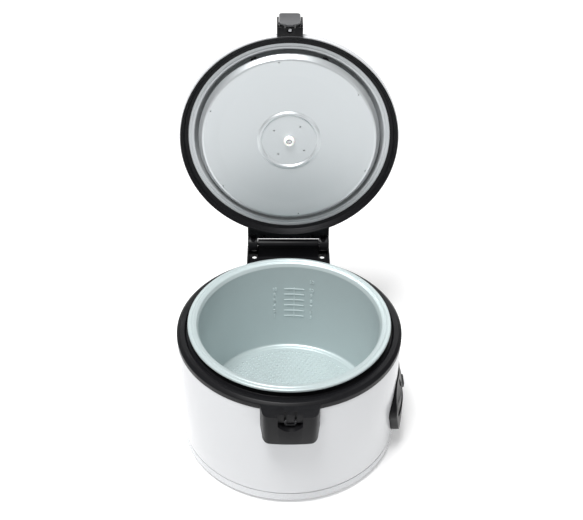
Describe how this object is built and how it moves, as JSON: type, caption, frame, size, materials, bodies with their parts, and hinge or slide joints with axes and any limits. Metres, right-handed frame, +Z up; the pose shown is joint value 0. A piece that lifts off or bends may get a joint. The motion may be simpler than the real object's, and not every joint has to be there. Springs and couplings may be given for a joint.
{
  "type": "rice cooker",
  "caption": "Round household rice cooker with a hinged lid, lift-out pot, pull-off inner lid plate, lid latch and push-lever thermostat switch.",
  "frame": {"origin": "on the pot's axis, in the plane that the feet and the base's centre boss stand on", "axes": "+Z up along the pot's axis, -Y to the front latch, +Y to the hinge, +X to the control panel"},
  "size_m": [0.269, 0.3457, 0.459],
  "materials": {
    "white_paint": "glossy white paint",
    "white_plastic": "glossy white moulded plastic",
    "black_plastic": "satin black plastic",
    "grey_plastic": "satin dark grey plastic",
    "pot_coating": "satin grey-green non-stick coating",
    "aluminium": "satin spun aluminium",
    "cast_aluminium": "machined casting",
    "steel": "plated steel",
    "rubber": "soft matt rubber",
    "silicone": "milky silicone",
    "red_lens": "tinted clear plastic",
    "amber_lens": "tinted clear plastic",
    "ceramic": "unglazed ceramic",
    "mica": "mica board",
    "ferrite": "sintered ferrite"
  },
  "bodies": {
    "base": {"outer_shell": "white_paint", "base_pan": "white_plastic", "base_screw_1": "steel", "base_screw_2": "steel", "base_screw_3": "steel", "rubber_foot_1": "rubber", "rubber_foot_2": "rubber", "rubber_foot_3": "rubber", "rubber_foot_4": "rubber", "top_rim": "black_plastic", "latch_housing": "black_plastic", "latch_keeper": "grey_plastic", "hinge_base": "black_plastic", "hinge_pin": "steel", "hinge_spring_left": "steel", "hinge_spring_right": "steel", "inner_liner": "aluminium", "heating_plate": "cast_aluminium", "heater_element": "steel", "keep_warm_band": "mica", "thermostat_sleeve": "steel", "thermostat_spring": "steel", "arm_pivot_pin": "steel", "arm_bracket": "steel", "lever_pin": "steel", "micro_switch": "ceramic", "terminal_block": "ceramic", "thermal_fuse": "ceramic", "power_inlet": "black_plastic", "control_panel": "black_plastic", "cook_lamp_lens": "red_lens", "warm_lamp_lens": "amber_lens", "cook_lamp": "ceramic", "warm_lamp": "ceramic"},
    "pot": {"inner_pot": "pot_coating"},
    "thermostat": {"thermostat_cup": "aluminium", "thermostat_ferrite": "ferrite"},
    "magnet": {"magnet_plunger": "ferrite"},
    "arm": {"lever_arm": "steel"},
    "lever": {"cook_lever": "black_plastic"},
    "lid": {"lid_shell": "white_plastic", "lid_ring": "black_plastic", "lid_inner_pan": "aluminium", "plate_stud": "steel", "plate_clip_left": "black_plastic", "plate_clip_right": "black_plastic", "steam_vent_tube": "black_plastic", "hinge_lid_bracket": "black_plastic", "hinge_screw_left": "steel", "hinge_screw_right": "steel", "latch_bracket": "black_plastic", "latch_pin": "steel", "latch_screw": "steel", "latch_spring": "steel"},
    "plate": {"inner_plate": "aluminium", "plate_grommet": "silicone"},
    "vent_cap": {"steam_vent_cap": "black_plastic"},
    "latch": {"latch_lever": "grey_plastic"}
  },
  "joints": [
    {"name": "lid_hinge", "type": "hinge", "parent": "base", "child": "lid", "pos_m": [0, 0.1461, 0.169], "axis": [-1, 0, 0], "range_deg": [-94.2, 0], "stiffness_Nm_per_rad": 0.4, "springref_deg": 17.19},
    {"name": "latch_release", "type": "hinge", "parent": "lid", "child": "latch", "pos_m": [0, 0.17789, 0.45173], "axis": [-1, 0, 0], "range_deg": [0, 10], "stiffness_Nm_per_rad": 0.05, "springref_deg": -11.46, "deforming": ["latch_spring"]},
    {"name": "plate_pull", "type": "slide", "parent": "lid", "child": "plate", "axis": [0, -0.9973, 0.0732], "range_m": [0, 0.012]},
    {"name": "vent_cap_pull", "type": "slide", "parent": "lid", "child": "vent_cap", "axis": [0, 0.9973, -0.0732], "range_m": [0, 0.01]},
    {"name": "pot_lift", "type": "slide", "parent": "base", "child": "pot", "axis": [0, 0, 1], "range_m": [0, 0.14]},
    {"name": "thermostat_rise", "type": "slide", "parent": "base", "child": "thermostat", "axis": [0, 0, 1], "range_m": [0, 0.003]},
    {"name": "cook_lever_press", "type": "hinge", "parent": "base", "child": "lever", "pos_m": [0.123, 0, 0.07], "axis": [0, 1, 0], "range_deg": [0, 24], "stiffness_Nm_per_rad": 0.03, "springref_deg": -17.19},
    {"name": "lever_arm_rock", "type": "hinge", "parent": "base", "child": "arm", "pos_m": [0.06, 0, 0.0115], "axis": [0, 1, 0], "range_deg": [0, 6.8]},
    {"name": "magnet_rise", "type": "slide", "parent": "base", "child": "magnet", "axis": [0, 0, 1], "range_m": [0, 0.0071]}
  ],
  "couplings": [
    {"joint": "thermostat_rise", "follows": "pot_lift", "ratio": 0.0214},
    {"joint": "lever_arm_rock", "follows": "cook_lever_press", "ratio": 0.28},
    {"joint": "magnet_rise", "follows": "cook_lever_press", "m_per_rad": 0.0167}
  ]
}
